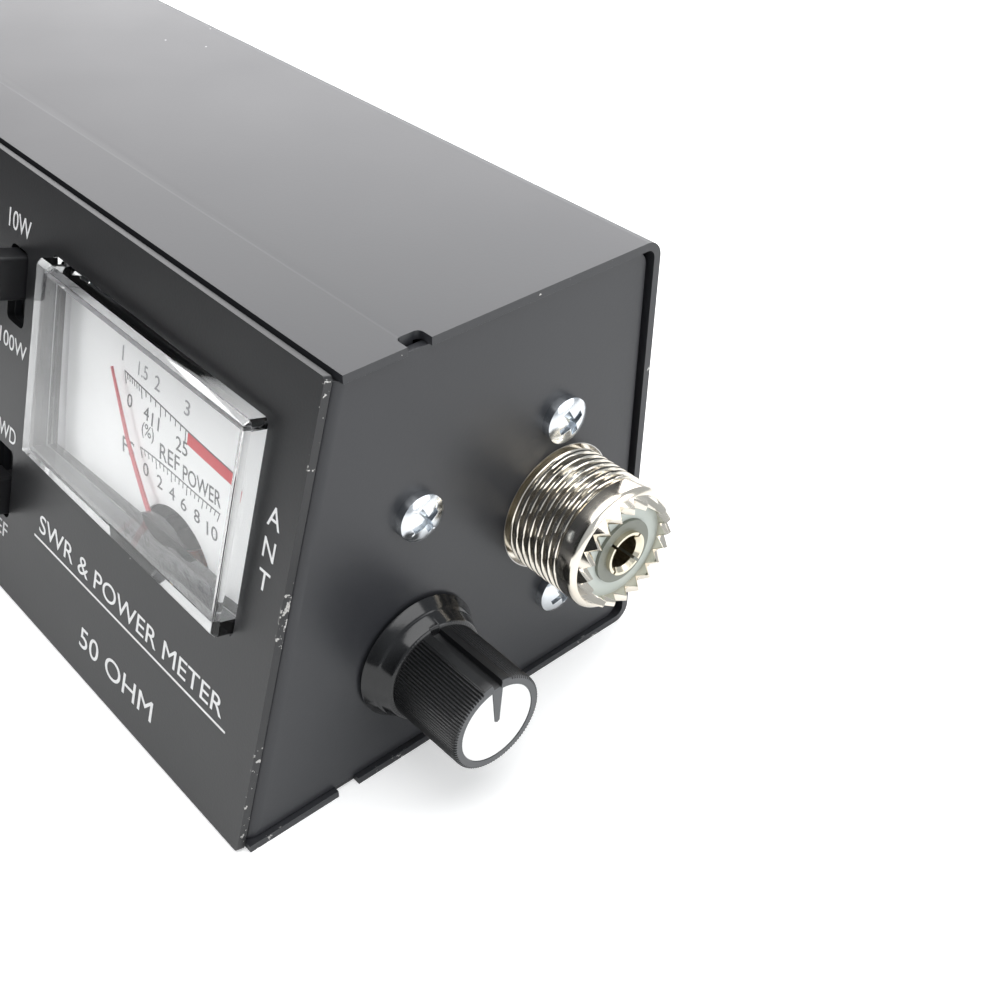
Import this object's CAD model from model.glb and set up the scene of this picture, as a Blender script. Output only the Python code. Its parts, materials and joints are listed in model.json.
import json
import math

import bmesh
import bpy
import numpy as np
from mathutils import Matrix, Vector

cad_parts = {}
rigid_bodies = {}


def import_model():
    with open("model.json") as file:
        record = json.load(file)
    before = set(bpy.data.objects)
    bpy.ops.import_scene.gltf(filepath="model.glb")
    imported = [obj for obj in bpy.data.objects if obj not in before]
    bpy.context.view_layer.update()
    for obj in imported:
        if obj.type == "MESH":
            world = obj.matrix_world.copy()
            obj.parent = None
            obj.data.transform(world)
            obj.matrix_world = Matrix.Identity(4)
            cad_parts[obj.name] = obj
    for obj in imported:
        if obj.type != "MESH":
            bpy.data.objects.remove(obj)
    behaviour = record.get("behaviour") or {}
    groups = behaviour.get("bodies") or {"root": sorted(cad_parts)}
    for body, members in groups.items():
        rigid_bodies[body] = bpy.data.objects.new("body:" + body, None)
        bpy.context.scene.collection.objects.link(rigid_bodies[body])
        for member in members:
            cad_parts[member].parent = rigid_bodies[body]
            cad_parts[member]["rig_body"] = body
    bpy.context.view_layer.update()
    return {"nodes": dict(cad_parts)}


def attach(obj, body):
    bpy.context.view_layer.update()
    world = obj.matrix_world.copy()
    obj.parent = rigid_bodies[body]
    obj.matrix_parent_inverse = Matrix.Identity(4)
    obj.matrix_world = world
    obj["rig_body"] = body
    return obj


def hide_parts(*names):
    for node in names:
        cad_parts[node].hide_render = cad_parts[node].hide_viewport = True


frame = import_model()
NODES = frame["nodes"]
MM = 0.001
TAU = 2 * math.pi

# ---- the case's main sizes, millimetres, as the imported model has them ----
HALF_WIDE = 61.0
CASE_HIGH, SETBACK = 56.4, 16.7
FRONT_Y = -30.8
SLOPE = math.atan2(SETBACK, CASE_HIGH)
PLATE_LONG = math.hypot(CASE_HIGH, SETBACK)
SOCKET_Y, SOCKET_Z = 17.1, 25.4
KNOB_Y, KNOB_Z = -4.7, 14.9
PIVOT_X, PIVOT_V = 32.95, PLATE_LONG - 38.2
DIAL_LEVEL = -5.4


# =====================================================================
# Placing and meshing
# =====================================================================
def front_matrix():
    """Row frame from the front plate's own axes: x across, v up the slope, n outwards."""
    s, c = math.sin(SLOPE), math.cos(SLOPE)
    return np.array([[1, 0, 0, 0], [0, s, -c, FRONT_Y], [0, c, s, 0], [0, 0, 0, 1.0]])


def placed(points, matrix):
    """Points times a 4 by 4 matrix, all at once."""
    return points @ matrix[:3, :3].T + matrix[:3, 3]


def on_plate(points):
    """From (x, v, n) on the front plate to the row frame."""
    return placed(np.asarray(points, float), front_matrix())


def grid_quads(rows, columns, wrap):
    """Quads of a rows by columns grid of points; wrap joins the last column to the first."""
    i = np.arange(rows - 1)[:, None]
    j = np.arange(columns if wrap else columns - 1)[None, :]
    after = (j + 1) % columns
    quads = [i * columns + j, i * columns + after, (i + 1) * columns + after, (i + 1) * columns + j]
    return np.stack([np.broadcast_to(q, (rows - 1, j.shape[1])) for q in quads], -1).reshape(-1, 4)


def new_piece(name, points, faces, body, look, sharp=35.0):
    """A mesh piece in the row frame; points in millimetres, faces as lists of point numbers."""
    mesh = bpy.data.meshes.new(name)
    mesh.from_pydata((np.asarray(points) * MM).tolist(), [], [list(map(int, f)) for f in faces])
    return finish_piece(name, mesh, body, look, sharp)


def finish_piece(name, mesh, body, look, sharp=35.0):
    """Merge doubles, face outwards, shade smooth up to an angle, and ride on a body."""
    bm = bmesh.new()
    bm.from_mesh(mesh)
    bmesh.ops.remove_doubles(bm, verts=bm.verts, dist=1e-7)
    bmesh.ops.recalc_face_normals(bm, faces=bm.faces)
    bm.to_mesh(mesh)
    bm.free()
    mesh.shade_smooth()
    mesh.set_sharp_from_angle(angle=math.radians(sharp))
    piece = bpy.data.objects.new(name, mesh)
    bpy.context.scene.collection.objects.link(piece)
    mesh.materials.append(look)
    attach(piece, body)
    return piece


def turned(profile, count, swell):
    """A profile of (along, radius) carried round an axis along +X, as points and faces.

    Each point is (along, radius cos t, radius sin t); swell(t, along, radius) returns the along
    and radius arrays to use. Poles and seams close by merging.
    """
    profile = np.asarray(profile, float)
    t = np.arange(count) * TAU / count
    along = np.repeat(profile[:, :1], count, 1)
    radius = np.repeat(profile[:, 1:2], count, 1)
    along, radius = swell(np.broadcast_to(t, along.shape), along, radius)
    points = np.stack([along, radius * np.cos(t), radius * np.sin(t)], -1).reshape(-1, 3)
    return points, grid_quads(len(profile), count, True)


def dense(profile, step):
    """The same profile with points no further apart than step."""
    profile = np.asarray(profile, float)
    rows = [profile[:1]]
    for a, b in zip(profile[:-1], profile[1:]):
        n = max(1, int(math.ceil(np.linalg.norm(b - a) / step)))
        w = np.linspace(0, 1, n + 1)[1:, None]
        rows.append(a + (b - a) * w)
    return np.concatenate(rows)


def joined(parts):
    """Several (points, faces) pairs as one."""
    points, faces, base = [], [], 0
    for p, f in parts:
        points.append(np.asarray(p, float))
        faces += [[int(i) + base for i in face] for face in f]
        base += len(p)
    return np.concatenate(points), faces


def softened(node, name, look, width, segments=2, angle=28.0):
    """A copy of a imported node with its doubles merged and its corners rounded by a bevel."""
    source = NODES[node]
    bm = bmesh.new()
    bm.from_mesh(source.data)
    bmesh.ops.remove_doubles(bm, verts=bm.verts, dist=1e-6)
    bmesh.ops.dissolve_limit(bm, angle_limit=math.radians(1.0), verts=bm.verts, edges=bm.edges)
    mesh = bpy.data.meshes.new(name)
    bm.to_mesh(mesh)
    bm.free()
    mesh.materials.clear()
    mesh.materials.append(look)
    mesh.shade_smooth()
    mesh.set_sharp_from_angle(angle=math.radians(60))
    piece = bpy.data.objects.new(name, mesh)
    bpy.context.scene.collection.objects.link(piece)
    bevel = piece.modifiers.new("rounding", "BEVEL")
    bevel.width = width * MM
    bevel.segments = segments
    bevel.limit_method = "ANGLE"
    bevel.angle_limit = math.radians(angle)
    bevel.use_clamp_overlap = True
    bevel.harden_normals = True
    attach(piece, source["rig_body"])
    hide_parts(node)
    return piece


# =====================================================================
# Materials
# =====================================================================
class Look:
    """One Principled material with short calls for its nodes."""

    def __init__(self, name, color=(0.5, 0.5, 0.5), rough=0.5, metal=0.0, **sockets):
        self.mat = bpy.data.materials.new(name)
        self.mat.use_nodes = True
        self.tree = self.mat.node_tree
        self.shader = self.tree.nodes["Principled BSDF"]
        self.shader.inputs["Base Color"].default_value = (*color, 1)
        self.shader.inputs["Roughness"].default_value = rough
        self.shader.inputs["Metallic"].default_value = metal
        for socket, value in sockets.items():
            self.shader.inputs[socket.replace("_", " ")].default_value = value
        self.coords = self.node("ShaderNodeTexCoord").outputs["Object"]

    def node(self, kind, **settings):
        made = self.tree.nodes.new(kind)
        for key, value in settings.items():
            setattr(made, key, value)
        return made

    def link(self, source, target):
        self.tree.links.new(source, target)

    def group(self, tree, **values):
        """One shared effect placed in this material, fed with Object coordinates."""
        made = self.node("ShaderNodeGroup", node_tree=tree)
        for key, value in values.items():
            socket = made.inputs[key.replace("_", " ")]
            if isinstance(value, bpy.types.NodeSocket):
                self.link(value, socket)
            else:
                socket.default_value = value
        self.link(self.coords, made.inputs["Place"])
        return made.outputs

    def color_mix(self, factor, a, b):
        """Blend two colours (tuples or sockets) by a mask."""
        mix = self.node("ShaderNodeMix", data_type="RGBA")
        self.link(factor, mix.inputs["Factor"])
        for socket, value in ((mix.inputs["A"], a), (mix.inputs["B"], b)):
            if isinstance(value, bpy.types.NodeSocket):
                self.link(value, socket)
            else:
                socket.default_value = (*value, 1)
        return mix.outputs["Result"]

    def span(self, value, low, high):
        """Map 0..1 onto low..high."""
        made = self.node("ShaderNodeMapRange")
        self.link(value, made.inputs["Value"])
        made.inputs["To Min"].default_value = low
        made.inputs["To Max"].default_value = high
        return made.outputs["Result"]

    def bump(self, height, strength, distance):
        made = self.node("ShaderNodeBump")
        made.inputs["Strength"].default_value = strength
        made.inputs["Distance"].default_value = distance * MM
        self.link(height, made.inputs["Height"])
        self.link(made.outputs["Normal"], self.shader.inputs["Normal"])
        return made

    def feed(self, **sockets):
        for key, source in sockets.items():
            self.link(source, self.shader.inputs[key.replace("_", " ")])


def group_tree(name, inputs, outputs):
    """An empty shader group with named sockets."""
    tree = bpy.data.node_groups.new(name, "ShaderNodeTree")
    tree.interface.new_socket("Place", in_out="INPUT", socket_type="NodeSocketVector")
    for label, value in inputs.items():
        made = tree.interface.new_socket(label, in_out="INPUT", socket_type="NodeSocketFloat")
        made.default_value = value
    for label, kind in outputs.items():
        tree.interface.new_socket(label, in_out="OUTPUT", socket_type=kind)
    return tree, tree.nodes.new("NodeGroupInput"), tree.nodes.new("NodeGroupOutput")


def math_node(tree, operation, a, b=0.0, c=0.0):
    """One Math node in a group; each value is a number or a socket."""
    made = tree.nodes.new("ShaderNodeMath")
    made.operation = operation
    for socket, value in zip(made.inputs, (a, b, c)):
        if isinstance(value, bpy.types.NodeSocket):
            tree.links.new(value, socket)
        else:
            socket.default_value = value
    return made.outputs[0]


def noise_node(tree, place, scale, detail=2.0, rough=0.5):
    made = tree.nodes.new("ShaderNodeTexNoise")
    tree.links.new(place, made.inputs["Vector"])
    if isinstance(scale, bpy.types.NodeSocket):
        tree.links.new(scale, made.inputs["Scale"])
    else:
        made.inputs["Scale"].default_value = scale
    made.inputs["Detail"].default_value = detail
    made.inputs["Roughness"].default_value = rough
    return made.outputs["Fac"]


def build_grain():
    """Fine grain: a small noise plus a broad one, as a height and as a slow cloud 0..1."""
    tree, start, end = group_tree("fine_grain", {"Fine": 3000.0, "Broad": 40.0},
                                  {"Height": "NodeSocketFloat", "Cloud": "NodeSocketFloat"})
    fine = noise_node(tree, start.outputs["Place"], start.outputs["Fine"], 3.0, 0.6)
    broad = noise_node(tree, start.outputs["Place"], start.outputs["Broad"], 4.0, 0.55)
    tree.links.new(fine, end.inputs["Height"])
    tree.links.new(broad, end.inputs["Cloud"])
    return tree


def build_specks():
    """Dust specks: points near a Voronoi cell's centre, in the share of cells that is kept."""
    tree, start, end = group_tree("dust_specks", {"Scale": 300.0, "Size": 0.12, "Share": 0.06},
                                  {"Mask": "NodeSocketFloat"})
    cells = tree.nodes.new("ShaderNodeTexVoronoi")
    tree.links.new(start.outputs["Place"], cells.inputs["Vector"])
    tree.links.new(start.outputs["Scale"], cells.inputs["Scale"])
    near = math_node(tree, "LESS_THAN", cells.outputs["Distance"], start.outputs["Size"])
    split = tree.nodes.new("ShaderNodeSeparateColor")
    tree.links.new(cells.outputs["Color"], split.inputs["Color"])
    kept = math_node(tree, "LESS_THAN", split.outputs["Red"], start.outputs["Share"])
    tree.links.new(math_node(tree, "MULTIPLY", near, kept), end.inputs["Mask"])
    return tree


def build_edge_chips():
    """Bare chips along the cut ends: a ramp over |x| from Inner to Outer, broken up by noise."""
    tree, start, end = group_tree("edge_chips", {"Inner": 0.0605, "Outer": 0.0609, "Amount": 0.5,
                                                 "Scale": 900.0}, {"Mask": "NodeSocketFloat"})
    split = tree.nodes.new("ShaderNodeSeparateXYZ")
    tree.links.new(start.outputs["Place"], split.inputs[0])
    across = math_node(tree, "ABSOLUTE", split.outputs["X"])
    ramp = tree.nodes.new("ShaderNodeMapRange")
    ramp.interpolation_type = "SMOOTHSTEP"
    tree.links.new(across, ramp.inputs["Value"])
    tree.links.new(start.outputs["Inner"], ramp.inputs["From Min"])
    tree.links.new(start.outputs["Outer"], ramp.inputs["From Max"])
    speckle = noise_node(tree, start.outputs["Place"], start.outputs["Scale"], 3.0, 0.65)
    patch = noise_node(tree, start.outputs["Place"], 140.0, 2.0, 0.5)
    both = math_node(tree, "ADD", math_node(tree, "MULTIPLY", speckle, 0.6),
                     math_node(tree, "MULTIPLY", patch, 0.4))
    least = math_node(tree, "SUBTRACT", 1.0, start.outputs["Amount"])
    gate = math_node(tree, "GREATER_THAN", both, least)
    tree.links.new(math_node(tree, "MULTIPLY", gate, ramp.outputs["Result"]), end.inputs["Mask"])
    return tree


def build_scratches():
    """Faint rubbed lines: a noise stretched a hundredfold along one direction."""
    tree, start, end = group_tree("rubbed_lines", {"Along": 20.0, "Across": 2500.0},
                                  {"Mask": "NodeSocketFloat"})
    join = tree.nodes.new("ShaderNodeCombineXYZ")
    tree.links.new(start.outputs["Along"], join.inputs["X"])
    tree.links.new(start.outputs["Across"], join.inputs["Y"])
    tree.links.new(start.outputs["Across"], join.inputs["Z"])
    stretch = tree.nodes.new("ShaderNodeVectorMath")
    stretch.operation = "MULTIPLY"
    tree.links.new(start.outputs["Place"], stretch.inputs[0])
    tree.links.new(join.outputs["Vector"], stretch.inputs[1])
    tree.links.new(noise_node(tree, stretch.outputs["Vector"], 1.0, 2.0, 0.5), end.inputs["Mask"])
    return tree


def fall_off(tree, direction, low, high):
    """A mask that rises from 0 to 1 while dot(place, direction) goes from low to high.

    Returns the socket that takes the place, and the mask.
    """
    dot = tree.nodes.new("ShaderNodeVectorMath")
    dot.operation = "DOT_PRODUCT"
    dot.inputs[1].default_value = direction
    ramp = tree.nodes.new("ShaderNodeMapRange")
    ramp.interpolation_type = "SMOOTHSTEP"
    ramp.inputs["From Min"].default_value, ramp.inputs["From Max"].default_value = low, high
    tree.links.new(dot.outputs["Value"], ramp.inputs["Value"])
    return dot.inputs[0], ramp.outputs["Result"]


def near_axis(look, centre, low, high):
    """A mask that falls from 1 to 0 while the distance from an axis along X goes from low to high.

    centre is the axis' (y, z) in metres; the distance is the length of place - centre without x.
    """
    tree = look.tree
    offset = tree.nodes.new("ShaderNodeVectorMath")
    offset.operation = "SUBTRACT"
    look.link(look.coords, offset.inputs[0])
    offset.inputs[1].default_value = (0, *centre)
    flat = tree.nodes.new("ShaderNodeVectorMath")
    flat.operation = "MULTIPLY"
    look.link(offset.outputs[0], flat.inputs[0])
    flat.inputs[1].default_value = (0, 1, 1)
    reach = tree.nodes.new("ShaderNodeVectorMath")
    reach.operation = "LENGTH"
    look.link(flat.outputs[0], reach.inputs[0])
    ramp = tree.nodes.new("ShaderNodeMapRange")
    ramp.inputs["From Min"].default_value, ramp.inputs["From Max"].default_value = low, high
    ramp.inputs["To Min"].default_value, ramp.inputs["To Max"].default_value = 1.0, 0.0
    look.link(reach.outputs["Value"], ramp.inputs["Value"])
    return ramp.outputs["Result"]


GRAIN, SPECKS, CHIPS, RUBBED = build_grain(), build_specks(), build_edge_chips(), build_scratches()
BARE_STEEL, DUST = (0.62, 0.61, 0.59), (0.55, 0.55, 0.54)

# ---- where finishes change on one piece, in metres ----
SOCKET_AXIS = (SOCKET_Y * MM, SOCKET_Z * MM)
BARE_RIM_R, BOSS_EDGE_R = 8.36 * MM, 4.11 * MM
KNOB_STEP_X = (HALF_WIDE + 3.75) * MM


def enamel(name, color, rough, grain, chips, dust):
    """Stove enamel: fine orange peel, cloudy gloss, dust specks and bare metal at its edges.

    chips is (inner, outer, amount) for chips along the cut ends; None leaves the rims of the two
    socket holes bare instead.
    """
    look = Look(name, color, rough)
    peel = look.group(GRAIN, Fine=grain[0], Broad=35.0)
    lighter = tuple(min(1.0, c * 1.5 + 0.004) for c in color)
    tone = look.color_mix(peel["Cloud"], color, lighter)
    specks = look.group(SPECKS, Scale=dust[0], Size=dust[1], Share=dust[2])
    tone = look.color_mix(specks["Mask"], tone, DUST)
    if chips:
        inner, outer, amount = chips
        bare = look.group(CHIPS, Inner=inner, Outer=outer, Amount=amount, Scale=1100.0)["Mask"]
    else:
        bare = near_axis(look, SOCKET_AXIS, BARE_RIM_R, BARE_RIM_R + 0.04 * MM)
    tone = look.color_mix(bare, tone, BARE_STEEL)
    look.feed(Base_Color=tone, Roughness=look.span(peel["Cloud"], rough - 0.06, rough + 0.08),
              Metallic=bare)
    look.bump(peel["Height"], grain[1], grain[2])
    return look.mat


def metal(name, color, rough, tint, streak, height=0.15):
    """Plated metal: warm and cool clouds, rubbed lines in the gloss and the height."""
    look = Look(name, color, rough, 1.0)
    cloud = look.group(GRAIN, Fine=2200.0, Broad=150.0)
    lines = look.group(RUBBED, Along=streak[0], Across=streak[1])
    look.feed(Base_Color=look.color_mix(cloud["Cloud"], color, tint),
              Roughness=look.span(lines["Mask"], rough * 0.6, rough * 1.6))
    look.bump(lines["Mask"], height, 0.02)
    return look.mat


def moulded(name, color, rough, grain=(2500.0, 0.2, 0.02), lift=1.5, **sockets):
    """Moulded plastic: faint spark texture and a cloudy gloss."""
    look = Look(name, color, rough, **sockets)
    skin = look.group(GRAIN, Fine=grain[0], Broad=90.0)
    lighter = tuple(min(1.0, c * lift + 0.002) for c in color)
    specks = look.group(SPECKS, Scale=420.0, Size=0.09, Share=0.05)
    tone = look.color_mix(skin["Cloud"], color, lighter)
    dusty = tuple(min(1, c * 2 + 0.1) for c in color)
    look.feed(Base_Color=look.color_mix(specks["Mask"], tone, dusty),
              Roughness=look.span(skin["Cloud"], rough - 0.05, rough + 0.07))
    look.bump(skin["Height"], grain[1], grain[2])
    return look.mat


def two_tone_insulator(name, boss, ring, rough):
    """Moulded insulator: an olive boss inside a paler ring, told apart by their radius."""
    look = Look(name, boss, rough)
    skin = look.group(GRAIN, Fine=1800.0, Broad=120.0)
    inner = near_axis(look, SOCKET_AXIS, BOSS_EDGE_R, BOSS_EDGE_R + 0.03 * MM)
    tone = look.color_mix(inner, ring, boss)
    look.feed(Base_Color=tone, Roughness=look.span(skin["Cloud"], rough - 0.06, rough + 0.08))
    look.bump(skin["Height"], 0.2, 0.02)
    return look.mat


def polished_foot(name, color, split, foot_rough, body_rough):
    """Black moulding: x below split, in metres, is polished and the rest is duller."""
    look = Look(name, color, body_rough)
    skin = look.group(GRAIN, Fine=2600.0, Broad=90.0)
    place, beyond = fall_off(look.tree, (1.0, 0.0, 0.0), split - 0.1 * MM, split + 0.1 * MM)
    look.link(look.coords, place)
    tone = look.color_mix(skin["Cloud"], color, tuple(c * 1.5 + 0.002 for c in color))
    look.feed(Base_Color=tone, Roughness=look.span(beyond, foot_rough, body_rough))
    look.bump(skin["Height"], 0.15, 0.02)
    return look.mat


def clear_moulding(name, tint, rough):
    """Polished clear plastic; light reaches what is behind it."""
    look = Look(name, tint, rough, Transmission_Weight=1.0, IOR=1.49)
    skin = look.group(GRAIN, Fine=1500.0, Broad=60.0)
    look.feed(Roughness=look.span(skin["Cloud"], rough, rough + 0.02))
    look.bump(skin["Height"], 0.02, 0.01)
    through = look.node("ShaderNodeBsdfTransparent")
    through.inputs["Color"].default_value = (*tint, 1)
    path = look.node("ShaderNodeLightPath")
    mix = look.node("ShaderNodeMixShader")
    look.link(path.outputs["Is Shadow Ray"], mix.inputs["Fac"])
    look.link(look.shader.outputs["BSDF"], mix.inputs[1])
    look.link(through.outputs["BSDF"], mix.inputs[2])
    look.link(mix.outputs["Shader"], look.tree.nodes["Material Output"].inputs["Surface"])
    return look.mat


def printed(name, color, rough, patchy=0.12):
    """Screen-printed ink: slightly uneven cover."""
    look = Look(name, color, rough)
    skin = look.group(GRAIN, Fine=1800.0, Broad=500.0)
    thinner = tuple(c * (1 - patchy) for c in color)
    look.feed(Base_Color=look.color_mix(skin["Height"], thinner, color))
    look.bump(skin["Height"], 0.1, 0.01)
    return look.mat


CASE_LOOK = enamel("charcoal_enamel", (0.018, 0.0187, 0.0215), 0.30, (2600.0, 0.22, 0.02),
                   (0.0614, 0.0618, 0.36), (330.0, 0.045, 0.03))
WALL_LOOK = enamel("charcoal_enamel_walls", (0.019, 0.0197, 0.0225), 0.33, (2400.0, 0.28, 0.03),
                   None, (300.0, 0.05, 0.035))
PLATE_LOOK = enamel("front_plate_enamel", (0.011, 0.0112, 0.0122), 0.36, (3200.0, 0.4, 0.03),
                    (0.0606, 0.0610, 0.40), (400.0, 0.045, 0.03))
NICKEL = metal("bright_nickel", (0.86, 0.83, 0.76), 0.13, (0.80, 0.72, 0.60), (300.0, 1200.0), 0.10)
ZINC = metal("bright_zinc", (0.80, 0.82, 0.84), 0.17, (0.70, 0.74, 0.78), (900.0, 900.0), 0.2)
SILVER = metal("silvered_contact", (0.86, 0.80, 0.66), 0.16, (0.78, 0.70, 0.52), (200.0, 1500.0),
               0.1)
BRASS = metal("turned_brass", (0.70, 0.55, 0.28), 0.25, (0.60, 0.46, 0.22), (200.0, 1800.0))
COPPER = metal("enamelled_copper", (0.62, 0.26, 0.14), 0.3, (0.50, 0.20, 0.10), (300.0, 3000.0))
MAGNET = metal("dark_iron", (0.16, 0.16, 0.17), 0.5, (0.10, 0.10, 0.11), (600.0, 600.0), 0.3)
BRONZE = metal("spring_bronze", (0.55, 0.38, 0.2), 0.3, (0.5, 0.33, 0.18), (300.0, 1500.0))
POT_METAL = metal("die_cast_metal", (0.66, 0.66, 0.65), 0.36, (0.55, 0.55, 0.55), (800.0, 900.0),
                  0.3)
INSULATOR = two_tone_insulator("pale_insulator", (0.17, 0.18, 0.15), (0.50, 0.54, 0.50), 0.35)
BLACK_MOULD = moulded("black_moulding", (0.012, 0.012, 0.013), 0.45)
CAP_LOOK = moulded("black_cap", (0.010, 0.010, 0.011), 0.33, (2600.0, 0.25, 0.02))
KNOB_LOOK = polished_foot("knob_black", (0.006, 0.0062, 0.0068), KNOB_STEP_X, 0.13, 0.36)
RIM_LOOK = moulded("knob_end_grey", (0.075, 0.077, 0.08), 0.5, (1500.0, 0.4, 0.03), 1.3)
DISC_LOOK = moulded("matt_white", (0.84, 0.84, 0.83), 0.6, (1200.0, 0.1, 0.02), 1.02)
TUB_LOOK = moulded("meter_tub", (0.62, 0.62, 0.63), 0.5)
SMOKE = moulded("smoked_cap", (0.05, 0.05, 0.05), 0.12, Alpha=0.78)
DIAL_LOOK = moulded("dial_card", (0.86, 0.86, 0.86), 0.62, (900.0, 0.08, 0.02), 1.02)
WINDOW_LOOK = clear_moulding("clear_window", (0.985, 0.99, 0.99), 0.015)
WHITE_INK = printed("white_ink", (0.86, 0.86, 0.86), 0.5)
BLACK_INK = printed("black_ink", (0.10, 0.10, 0.105), 0.6, 0.2)
WORN_INK = printed("worn_ink", (0.36, 0.36, 0.37), 0.6, 0.2)
RED_INK = printed("red_ink", (0.62, 0.06, 0.07), 0.6)
NEEDLE_LOOK = printed("needle_lacquer", (0.62, 0.12, 0.14), 0.45)
BOARD_LOOK = moulded("laminate", (0.22, 0.13, 0.05), 0.5)
RESISTOR_LOOK = moulded("resistor_lacquer", (0.45, 0.30, 0.17), 0.35)
DIODE_LOOK = moulded("diode_glass", (0.38, 0.11, 0.04), 0.15)
CERAMIC_LOOK = moulded("dipped_ceramic", (0.42, 0.20, 0.06), 0.4)
TRIMMER_LOOK = moulded("trimmer_blue", (0.03, 0.09, 0.28), 0.4)

NODE_LOOKS = {
    "antenna_socket_insulator": INSULATOR, "transmitter_socket_insulator": INSULATOR,
    "antenna_socket_contact": SILVER, "transmitter_socket_contact": SILVER,
    "socket_nuts": ZINC, "switch_screws": ZINC,
    "meter_housing": TUB_LOOK, "meter_dial": DIAL_LOOK, "meter_shroud": SMOKE,
    "meter_front_bearing": BRASS, "meter_rear_bridge": BRASS, "meter_magnet_ring": MAGNET,
    "meter_core": MAGNET, "meter_coil": COPPER, "meter_pivots": ZINC, "meter_pointer": NEEDLE_LOOK,
    "meter_hairspring": BRONZE, "meter_studs": BRASS, "meter_stud_nuts": ZINC,
    "pot_body": POT_METAL, "pot_washer": ZINC, "pot_nut": ZINC, "pot_shaft": POT_METAL,
    "knob_disc": DISC_LOOK, "coupler_board": BOARD_LOOK, "main_line": COPPER,
    "pickup_lines": COPPER, "resistors": RESISTOR_LOOK, "diodes": DIODE_LOOK,
    "capacitors": CERAMIC_LOOK, "trimmers": TRIMMER_LOOK,
}
for switch in ("range", "direction", "function"):
    NODE_LOOKS[switch + "_switch_body"] = BLACK_MOULD
    NODE_LOOKS[switch + "_switch_pins"] = ZINC
    NODE_LOOKS[switch + "_switch_lever"] = BLACK_MOULD
for node_name, node_look in NODE_LOOKS.items():
    NODES[node_name].data.materials.clear()
    NODES[node_name].data.materials.append(node_look)

# =====================================================================
# Case, plate, window and caps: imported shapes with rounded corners
# =====================================================================
softened("cover", "cover_shell", CASE_LOOK, 0.30, 3)
softened("chassis", "chassis_shell", WALL_LOOK, 0.10)
softened("front_plate", "printed_plate", PLATE_LOOK, 0.12)
softened("meter_window", "window_box", WINDOW_LOOK, 0.16)
for switch in ("range", "direction", "function"):
    softened(switch + "_switch_cap", switch + "_cap", CAP_LOOK, 0.08)
softened("socket_screws", "socket_screw_set", ZINC, 0.22, 3, 35.0)
softened("cover_screws", "cover_screw_pair", ZINC, 0.22, 3, 35.0)


# =====================================================================
# Coaxial sockets
# =====================================================================
BARREL_R, NECK_R, THREAD_DEEP, THREAD_PITCH = 7.9375, 7.4375, 0.55, 1.058
BARREL_TIP, BARREL_ROOT = HALF_WIDE + 12.3, HALF_WIDE - 1.0
TEETH, TOOTH_DEEP, SHOULDER_R, TIP_R = 20, 1.3, 7.1, 6.75
MOUTH_R, MOUTH_DEEP, BOSS_R = 6.1, 6.0, 4.1
FLANGE_THICK, FLANGE_DISC_R, EAR_CENTRE, EAR_R = 1.6, 9.2, 12.85, 4.3
FLANGE_HOLE_R, FLANGE_ROUND = BARREL_R - 0.6, 0.15
THREAD_START, THREAD_END = HALF_WIDE + 0.6, HALF_WIDE + 8.3
TOOTH_ROOT = BARREL_TIP - TOOTH_DEEP


def barrel_surface():
    """Threaded barrel as a profile carried round the axis, with V teeth round its mouth.

    The thread lowers the radius by THREAD_DEEP times a clipped triangle wave of
    along / pitch - turn, faded out at both ends. Past TOOTH_ROOT each row stands at
    TOOTH_ROOT + TOOTH_DEEP * w, where w is a triangle wave of the angle, 1 on a tooth's
    ridge and 0 in a valley; the outer rows shrink from SHOULDER_R to TIP_R with w.
    """
    shoulder = TOOTH_ROOT - 0.6
    outer = dense([(BARREL_ROOT, NECK_R), (HALF_WIDE + 0.5, NECK_R),
                   (HALF_WIDE + 0.58, BARREL_R), (THREAD_END + 0.2, BARREL_R)], 0.07)
    band = [(THREAD_END + 0.3, BARREL_R), (shoulder - 0.2, BARREL_R), (shoulder, BARREL_R - 0.06),
            (shoulder + 0.3, BARREL_R - 0.36), (TOOTH_ROOT - 0.12, SHOULDER_R + 0.05)]
    rim = 5
    floor, back = BARREL_TIP - MOUTH_DEEP, BARREL_ROOT - FLANGE_THICK
    inner = [(TOOTH_ROOT - 0.3, MOUTH_R), (floor, MOUTH_R), (floor, BOSS_R), (back, BOSS_R),
             (back, NECK_R), (BARREL_ROOT, NECK_R)]
    profile = np.concatenate([outer, band, [(TOOTH_ROOT, SHOULDER_R)] * rim, inner])
    first = len(outer) + len(band)

    def swell(t, along, radius):
        wave = 2 * np.abs((along / THREAD_PITCH - t / TAU) % 1.0 - 0.5)
        groove = np.clip((wave - 0.36) / 0.5, 0, 1)
        fade = np.clip((along - THREAD_START) / 0.3, 0, 1)
        fade = fade * np.clip((THREAD_END - along) / 0.25, 0, 1)
        radius = np.where(radius > BARREL_R - 0.01, radius - THREAD_DEEP * groove * fade, radius)
        w = 2 * np.abs((t[0] / TAU * TEETH) % 1.0 - 0.5)
        edge = TOOTH_ROOT + TOOTH_DEEP * w
        outside = SHOULDER_R + (TIP_R - SHOULDER_R) * w
        flat = np.ones_like(w)
        rows = ((edge - 0.07, outside + 0.04), (edge, outside - 0.07), (edge, flat * 6.02),
                (edge - 0.06, flat * (MOUTH_R - 0.14)), (edge - 0.2, flat * MOUTH_R))
        for k, (x, r) in enumerate(rows):
            along[first + k], radius[first + k] = x, r
        return along, radius

    return turned(profile, TEETH * 12, swell)


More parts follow.
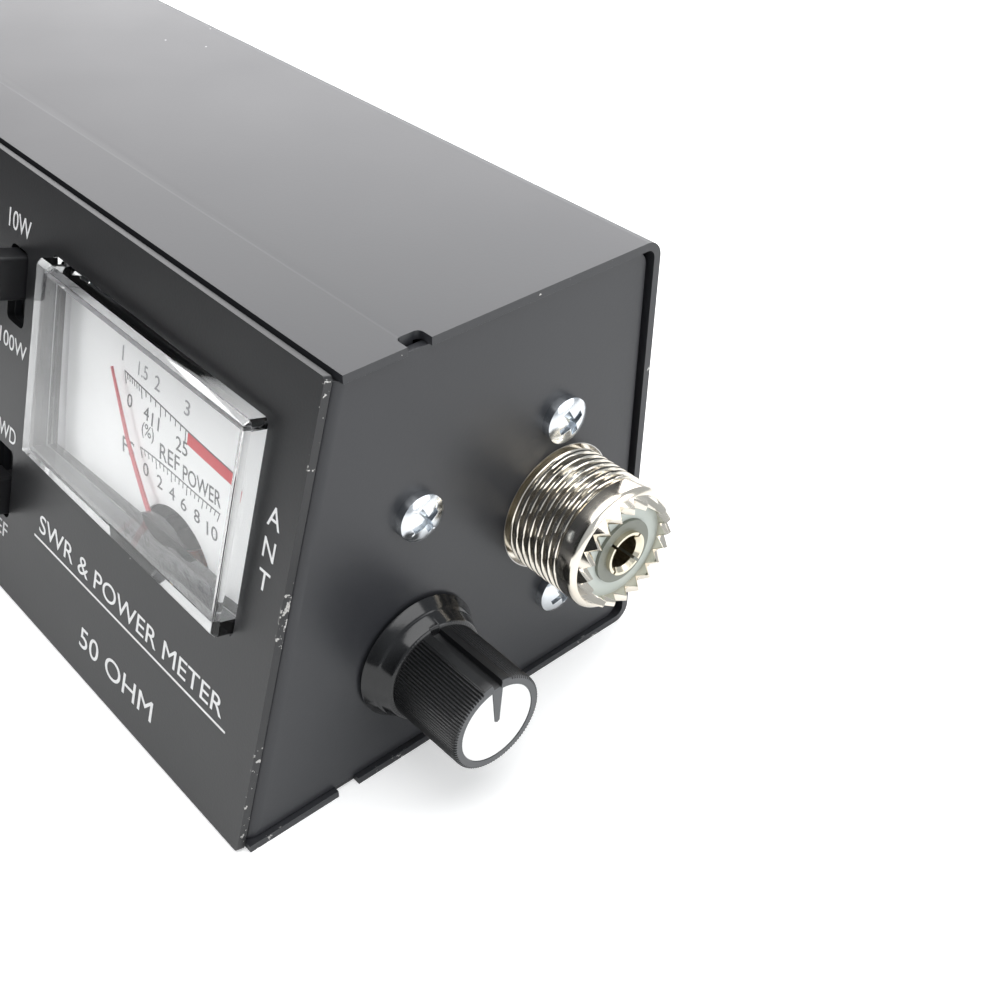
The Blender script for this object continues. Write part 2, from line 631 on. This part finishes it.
def flange_surface():
    """Two-eared flange: an outline of radius r(angle) swept from the front face to the back.

    r is the farthest reach of a disc and of two ear circles joined by a bar; the hole fits
    the barrel.
    """
    count = 144
    t = np.arange(count) * TAU / count
    disc = np.full(count, FLANGE_DISC_R)
    hole = np.full(count, FLANGE_HOLE_R)
    c, s = np.abs(np.sin(t)), np.abs(np.cos(t))
    under = EAR_R ** 2 - (EAR_CENTRE * s) ** 2
    ear = np.where(under > 0, EAR_CENTRE * c + np.sqrt(np.maximum(under, 0)), 0)
    bar = np.where(s > 1e-6, EAR_R / np.maximum(s, 1e-6), 99)
    bar = np.where(bar * c < EAR_CENTRE, bar, 0)
    outline = np.maximum(np.maximum(disc, ear), bar)
    back, front = BARREL_ROOT - FLANGE_THICK, BARREL_ROOT
    inset = outline - FLANGE_ROUND
    rows = []
    for along, radius in ((back, hole), (back, inset), (back + FLANGE_ROUND, outline),
                          (front - FLANGE_ROUND, outline), (front, inset), (front, hole),
                          (back, hole)):
        rows.append(np.stack([np.full(count, along), radius * np.cos(t), radius * np.sin(t)], -1))
    return np.concatenate(rows), grid_quads(len(rows), count, True)


def socket_side(points, sign):
    """Move axis-centred points onto the socket's axis; sign -1 is the transmitter end."""
    moved = points + np.array([0, SOCKET_Y, SOCKET_Z])
    return moved * np.array([sign, 1, 1])


for label, sign in (("antenna", 1), ("transmitter", -1)):
    shell_points, shell_faces = joined([barrel_surface(), flange_surface()])
    shell = new_piece(label + "_barrel", socket_side(shell_points, sign), shell_faces, "case",
                      NICKEL, 38.0)
    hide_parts(label + "_socket_shell")


# =====================================================================
# Knob
# =====================================================================
FLUTES, FLUTE_DEEP = 96, 0.18
KNOB_BASE, KNOB_TIP = HALF_WIDE + 0.35, HALF_WIDE + 14.3
GROOVE_HALF, GROOVE_DEEP = 0.55, 0.75


def knob_surface():
    """Fluted knob as a profile carried round the axis.

    Flutes are a rectified cosine of the angle on the straight body, absent within two bands
    beside the pointer groove; the groove lowers the radius where |y| is under its half width.
    """
    skirt = [(HALF_WIDE + 3.0, 0.0), (HALF_WIDE + 3.0, 6.17), (KNOB_BASE, 6.17), (KNOB_BASE, 8.05),
             (KNOB_BASE + 0.12, 8.18), (KNOB_BASE + 0.3, 8.05), (KNOB_BASE + 1.35, 7.46),
             (KNOB_BASE + 1.55, 7.3), (KNOB_BASE + 1.7, 7.1), (KNOB_BASE + 3.15, 6.72),
             (KNOB_BASE + 3.35, 6.55)]
    body = [(KNOB_BASE + 3.45, 6.2), (KNOB_TIP - 0.35, 6.12), (KNOB_TIP - 0.12, 6.05),
            (KNOB_TIP, 5.9), (KNOB_TIP, 5.05), (KNOB_TIP - 0.1, 5.0), (KNOB_TIP - 0.8, 5.0),
            (KNOB_TIP - 0.8, 0.0)]
    profile = np.concatenate([dense(skirt, 2.0), dense(body, 1.2)])

    def swell(t, along, radius):
        side = radius * np.cos(t)
        top = np.sin(t) > 0
        out = (along > KNOB_BASE + 3.4) & (radius > 5.6)
        beside = np.clip((np.abs(side) - 1.75) / 0.15, 0, 1)
        beside = np.where(top, beside, 1.0)
        flute = FLUTE_DEEP * (1 - np.abs(np.cos(t * FLUTES / 2))) * beside
        radius = np.where(out, radius - flute, radius)
        walls = np.clip((GROOVE_HALF + 0.08 - np.abs(side)) / 0.08, 0, 1)
        run = np.clip((along - KNOB_BASE - 3.3) / 0.2, 0, 1)
        cut = GROOVE_DEEP * walls * run * top
        return along, np.where((radius > 5.2) & (along > KNOB_BASE + 3.3), radius - cut, radius)

    points, faces = turned(profile, FLUTES * 6, swell)
    return points + np.array([0, KNOB_Y, KNOB_Z]), faces


def pointer_wedge():
    """Thin wedge on the knob's end, wide at the rim and narrow at the middle."""
    low, high = KNOB_TIP - 0.85, KNOB_TIP - 0.02
    outline = np.array([(-0.72, 5.1), (0.72, 5.1), (0.3, 0.35), (0.0, 0.15), (-0.3, 0.35)])
    rows = [np.column_stack([np.full(5, x), outline + (KNOB_Y, KNOB_Z)]) for x in (low, high)]
    faces = [[0, 1, 2, 3, 4], [9, 8, 7, 6, 5]]
    faces += [[i, i + 5, (i + 1) % 5 + 5, (i + 1) % 5] for i in range(5)]
    return np.concatenate(rows), faces


knob_points, knob_faces = knob_surface()
knob_piece = new_piece("fluted_knob", knob_points, knob_faces, "control_knob", KNOB_LOOK, 40.0)
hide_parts("knob")
knob_piece.data.materials.append(RIM_LOOK)
centres = np.array([p.center for p in knob_piece.data.polygons])
normals = np.array([p.normal for p in knob_piece.data.polygons])
end_face = (normals[:, 0] > 0.7) & (centres[:, 0] > (KNOB_TIP - 0.2) * MM)
knob_piece.data.polygons.foreach_set("material_index", end_face.astype(np.int32))
wedge_points, wedge_faces = pointer_wedge()
new_piece("knob_pointer_wedge", wedge_points, wedge_faces, "control_knob", RIM_LOOK, 30.0)


# =====================================================================
# Printing on the plate and the dial
# =====================================================================
INK_THICK, INK_GAP = 0.03, 0.01
ARC_WIDE, TICK_WIDE, BAND_WIDE, UNDERLINE_WIDE = 0.16, 0.13, 1.5, 0.28
PLATE_INK, DIAL_INK = INK_GAP, DIAL_LEVEL + INK_GAP


def lettering(name, text, box_xv, look, level):
    """Words as a thin mesh on the front, stretched to fill box_xv = (x0, x1, v0, v1).

    The caps' height fills v0..v1; level is the height of the face that the ink lies on.
    """
    curve = bpy.data.curves.new(name, "FONT")
    curve.body = text
    curve.size = 1.0
    curve.extrude = 0.01
    curve.resolution_u = 6
    maker = bpy.data.objects.new(name + "_maker", curve)
    bpy.context.scene.collection.objects.link(maker)
    bpy.context.view_layer.update()
    evaluated = maker.evaluated_get(bpy.context.evaluated_depsgraph_get())
    mesh = bpy.data.meshes.new_from_object(evaluated)
    bpy.data.objects.remove(maker)
    points = np.zeros(len(mesh.vertices) * 3)
    mesh.vertices.foreach_get("co", points)
    points = points.reshape(-1, 3)
    low, high = points.min(0), points.max(0)
    x0, x1, v0, v1 = box_xv
    flat = np.column_stack([x0 + (points[:, 0] - low[0]) / (high[0] - low[0]) * (x1 - x0),
                            v0 + (points[:, 1] - low[1]) / (high[1] - low[1]) * (v1 - v0),
                            level + (points[:, 2] - low[2]) / (high[2] - low[2]) * INK_THICK])
    mesh.vertices.foreach_set("co", (on_plate(flat) * MM).ravel())
    mesh.update()
    mesh.materials.clear()
    return finish_piece(name, mesh, "case", look, 30.0)


def ribbon(name, line, width, look, level):
    """A flat strip of ink of one width along a line of (x, v) points.

    Its edges are the line moved half a width to each side along the line's own normal.
    """
    line = np.asarray(line, float)
    run = np.gradient(line, axis=0)
    run /= np.linalg.norm(run, axis=1)[:, None]
    side = np.column_stack([-run[:, 1], run[:, 0]]) * width / 2
    left, right = line + side, line - side
    rows = []
    top = level + INK_THICK
    for edge, n in ((left, level), (left, top), (right, top), (right, level)):
        rows.append(on_plate(np.column_stack([edge, np.full(len(line), n)])))
    points = np.stack(rows, 1).reshape(-1, 3)
    faces = grid_quads(len(line), 4, True).tolist()
    last = 4 * (len(line) - 1)
    faces += [[0, 1, 2, 3], [last + 3, last + 2, last + 1, last]]
    return new_piece(name, points, faces, "case", look, 30.0)


PLATE_WORDS = [
    ("label_ten_watt", "10W", (-3.0, 2.75, 50.35, 52.75)),
    ("label_hundred_watt", "100W", (-3.35, 3.95, 34.85, 36.95)),
    ("label_forward", "FWD", (-2.9, 2.9, 22.45, 24.65)),
    ("label_reflected", "REF", (-2.6, 2.6, 8.3, 10.5)),
    ("label_power", "PWR", (-23.5, -17.5, 36.65, 38.85)),
    ("label_swr", "SWR", (-23.5, -17.5, 21.2, 23.4)),
    ("label_title", "SWR & POWER METER", (11.0, 54.2, 14.35, 16.9)),
    ("label_antenna_a", "A", (56.2, 58.4, 40.55, 42.9)),
    ("label_antenna_n", "N", (56.3, 58.3, 36.85, 39.15)),
    ("label_antenna_t", "T", (56.35, 58.25, 33.15, 35.45)),
    ("label_transmitter_t", "T", (-58.2, -56.3, 38.7, 41.0)),
    ("label_transmitter_x", "X", (-58.3, -56.2, 35.0, 37.3)),
    ("label_impedance", "50 OHM", (23.5, 41.2, 4.6, 7.5)),
]
for label, words, area in PLATE_WORDS:
    lettering(label, words, area, WHITE_INK, PLATE_INK)
ribbon("title_underline", [(9.9, 13.25), (55.3, 13.25)], UNDERLINE_WIDE, WHITE_INK, PLATE_INK)

upper = np.array([(21.4, 40.9), (23.8, 40.7), (26.4, 40.4), (30.7, 39.8), (34.7, 39.3),
                  (38.4, 38.9), (42.1, 38.65), (44.8, 38.2)])
lower = np.array([(25.8, 32.9), (28.6, 32.9), (31.3, 32.8), (33.7, 32.6), (36.0, 32.4),
                  (39.1, 32.25), (42.0, 32.1)])


def smooth_line(points, count):
    """Even points along a gentle curve: a cubic of v over x through the given ones."""
    fit = np.polyfit(points[:, 0], points[:, 1], 3)
    x = np.linspace(points[0, 0], points[-1, 0], count)
    return np.column_stack([x, np.polyval(fit, x)])


def ticks(name, line, spots, length, width):
    """Short strokes across a scale line, pointing at the pivot, as one piece."""
    parts = []
    for spot, long in zip(spots, length):
        base = np.array([spot, np.interp(spot, line[:, 0], line[:, 1])])
        run = base - (PIVOT_X, PIVOT_V - 14.0)
        run /= np.linalg.norm(run)
        side = np.array([-run[1], run[0]]) * width / 2
        corners = [base - side, base + side, base + run * long + side, base + run * long - side]
        low = on_plate([(*c, DIAL_INK) for c in corners])
        top = on_plate([(*c, DIAL_INK + INK_THICK) for c in corners])
        faces = [[0, 1, 2, 3], [7, 6, 5, 4]]
        faces += [[i, i + 4, (i + 1) % 4 + 4, (i + 1) % 4] for i in range(4)]
        parts.append((np.concatenate([low, top]), faces))
    points, faces = joined(parts)
    return new_piece(name, points, faces, "case", BLACK_INK, 30.0)


upper_line, lower_line = smooth_line(upper, 60), smooth_line(lower, 40)
ribbon("dial_upper_arc", upper_line, ARC_WIDE, BLACK_INK, DIAL_INK)
ribbon("dial_lower_arc", lower_line, ARC_WIDE, BLACK_INK, DIAL_INK)
red_line = upper_line[upper_line[:, 0] > 34.9] - (0, 0.85)
ribbon("dial_red_band", red_line, BAND_WIDE, RED_INK, DIAL_INK)
upper_spots = np.concatenate([np.linspace(21.5, 25.2, 8), np.linspace(26.2, 34.9, 9)])
ticks("dial_upper_ticks", upper_line, upper_spots,
      np.where(np.isin(np.arange(17), (0, 7, 11, 16)), -1.5, -0.8), TICK_WIDE)
lower_spots = np.linspace(25.9, 41.9, 21)
ticks("dial_lower_ticks", lower_line, lower_spots,
      np.where(np.arange(21) % 4 == 0, -1.3, -0.8), TICK_WIDE)
DIAL_WORDS = [
    ("dial_swr_1", "1", 20.8, 42.95, 0.25, 1.9), ("dial_swr_1_5", "1.5", 25.3, 42.45, 2.0, 1.7),
    ("dial_swr_2", "2", 28.4, 42.25, 1.1, 1.8), ("dial_swr_3", "3", 34.7, 41.9, 1.1, 1.8),
    ("dial_percent_0", "0", 23.0, 37.7, 1.1, 1.7), ("dial_percent_4", "4", 26.7, 37.7, 1.1, 1.7),
    ("dial_percent_11", "11", 28.7, 37.45, 1.6, 1.7),
    ("dial_percent_25", "25", 34.2, 36.9, 2.3, 1.8),
    ("dial_percent", "(%)", 27.3, 35.4, 2.6, 2.0), ("dial_ref", "REF", 31.9, 34.35, 4.0, 2.0),
    ("dial_power", "POWER", 38.3, 33.8, 7.4, 2.0), ("dial_full_scale", "FS", 23.3, 31.65, 2.5, 2.1),
    ("dial_watt_0", "0", 27.0, 30.45, 1.1, 1.7), ("dial_watt_2", "2", 29.9, 30.2, 1.1, 1.7),
    ("dial_watt_4", "4", 32.45, 30.0, 1.1, 1.7), ("dial_watt_6", "6", 34.8, 29.7, 1.1, 1.7),
    ("dial_watt_8", "8", 37.5, 29.5, 1.1, 1.7), ("dial_watt_10", "10", 40.5, 29.0, 2.1, 1.8),
]
for label, words, x, v, wide, high in DIAL_WORDS:
    ink = WORN_INK if label.startswith("dial_swr") else BLACK_INK
    area = (x - wide / 2, x + wide / 2, v - high / 2, v + high / 2)
    lettering(label, words, area, ink, DIAL_INK)

# =====================================================================
# Floor, lights and camera
# =====================================================================
FLOOR_SIZE = 4.0
floor_mesh = bpy.data.meshes.new("floor")
half = FLOOR_SIZE / 2
floor_mesh.from_pydata([(-half, -half, 0), (half, -half, 0), (half, half, 0), (-half, half, 0)], [],
                       [(0, 1, 2, 3)])
floor = bpy.data.objects.new("floor", floor_mesh)
bpy.context.scene.collection.objects.link(floor)
FLOOR_PALE, FLOOR_SHADED = (0.90, 0.90, 0.895), (0.03, 0.03, 0.032)
floor_look = Look("pale_floor", FLOOR_PALE, 0.7)
place, far_floor = fall_off(floor_look.tree, (-0.62, -0.78, 0.0), 0.10, 0.24)
floor_look.link(floor_look.coords, place)
lift = floor_look.node("ShaderNodeLightPath").outputs["Is Camera Ray"]
mirrored = math_node(floor_look.tree, "SUBTRACT", far_floor, lift)
floor_look.feed(Base_Color=floor_look.color_mix(mirrored, FLOOR_PALE, FLOOR_SHADED))
floor_look.feed(Emission_Strength=floor_look.span(lift, 0.0, 0.35))
floor_look.shader.inputs["Emission Color"].default_value = (1, 1, 1, 1)
floor_mesh.materials.append(floor_look.mat)

world = bpy.data.worlds.new("studio")
bpy.context.scene.world = world
world.use_nodes = True
sky = world.node_tree
backdrop = sky.nodes["Background"]
place, dark_side = fall_off(sky, (-0.62, -0.75, 0.2), 0.15, 0.6)
sky.links.new(sky.nodes.new("ShaderNodeTexCoord").outputs["Generated"], place)
seen = sky.nodes.new("ShaderNodeLightPath").outputs["Is Camera Ray"]
level = math_node(sky, "MULTIPLY_ADD", dark_side, -0.52, 0.55)
sky.links.new(math_node(sky, "MAXIMUM", level, seen), backdrop.inputs["Strength"])
backdrop.inputs["Color"].default_value = (0.9, 0.95, 1.0, 1)


def softbox(name, place, target, wide, high, power, tint=(1, 1, 1)):
    """A rectangular area light at place, facing target; metres and watts."""
    data = bpy.data.lights.new(name, "AREA")
    data.shape = "RECTANGLE"
    data.size, data.size_y = wide, high
    data.energy = power
    data.color = tint
    light = bpy.data.objects.new(name, data)
    bpy.context.scene.collection.objects.link(light)
    light.location = place
    facing = Vector(target) - Vector(place)
    light.rotation_euler = facing.to_track_quat("-Z", "Y").to_euler()
    return light


softbox("overhead", (0.05, 0.0, 0.85), (0, 0, 0), 1.0, 1.0, 9.0)
softbox("back_left", (-0.75, 0.75, 0.62), (0, 0, 0.03), 1.3, 1.0, 10.0, (1.0, 0.985, 0.99))
softbox("front_left_key", (-0.45, -0.75, 0.6), (0, 0, 0.03), 0.35, 0.35, 3.0)
softbox("right_fill", (0.85, 0.35, 0.35), (0, 0, 0.03), 0.8, 0.6, 3.0)

camera_data = bpy.data.cameras.new("camera")
camera_data.sensor_width = 36.0
camera_data.lens = 48.776
camera_data.clip_start = 0.005
camera = bpy.data.objects.new("camera", camera_data)
bpy.context.scene.collection.objects.link(camera)
camera.location = (0.15082, -0.07311, 0.12509)
camera.rotation_euler = tuple(math.radians(d) for d in (52.07501, -0.79581, 48.50683))
bpy.context.scene.camera = camera
bpy.context.scene.view_settings.view_transform = "Standard"
